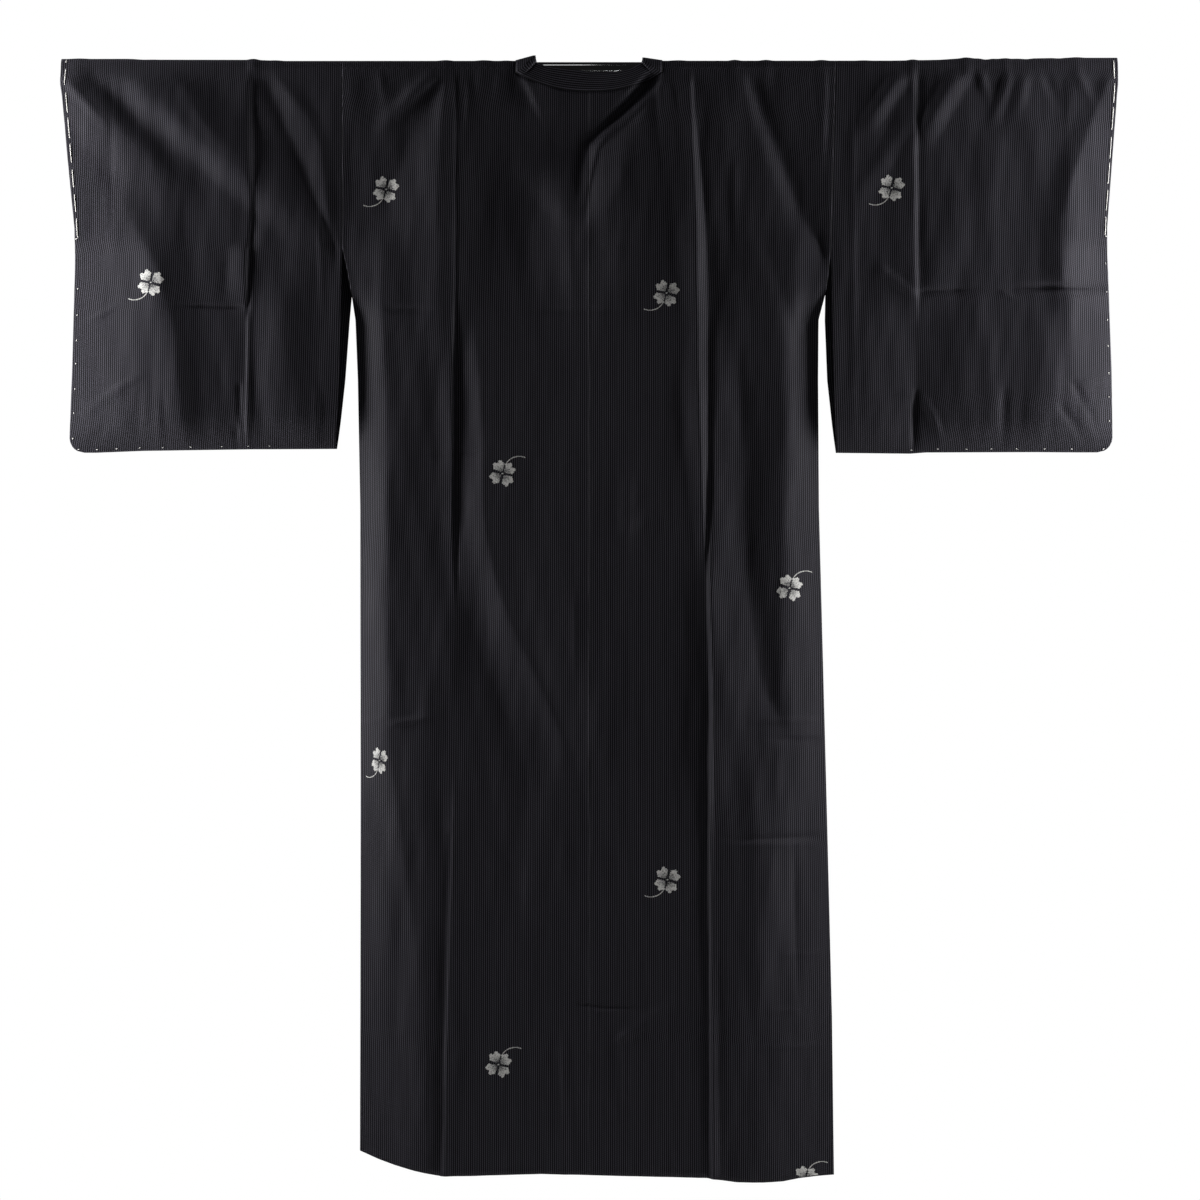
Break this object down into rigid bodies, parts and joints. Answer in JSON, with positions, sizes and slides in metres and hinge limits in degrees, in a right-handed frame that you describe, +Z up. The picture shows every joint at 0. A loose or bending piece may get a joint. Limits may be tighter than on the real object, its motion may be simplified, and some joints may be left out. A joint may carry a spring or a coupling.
{
  "type": "kimono coat on a hanging rod",
  "caption": "Long straight-cut coat with wide hanging sleeves, square front neck and narrow neckband, hung by its shoulders and sleeves on a plain round rod.",
  "frame": {"origin": "middle of the rod's axis, above the centre back seam", "axes": "+Z up, +X along the rod to the right of someone who faces the coat's back (the wearer's right), the back faces -Y and the front opening +Y"},
  "size_m": [1.325, 0.0535, 1.4128],
  "materials": {
    "cloth": "black twill with fine violet-grey vertical stripes, soft sheen",
    "clover_thread": "silver-grey woven thread",
    "basting_thread": "white cotton thread",
    "rod": "polished chrome"
  },
  "bodies": {
    "root": {"rod": "rod", "body_left": "cloth", "body_right": "cloth", "sleeve_left": "cloth", "sleeve_right": "cloth", "overlap_left": "cloth", "overlap_right": "cloth", "neckband": "cloth"}
  },
  "joints": []
}
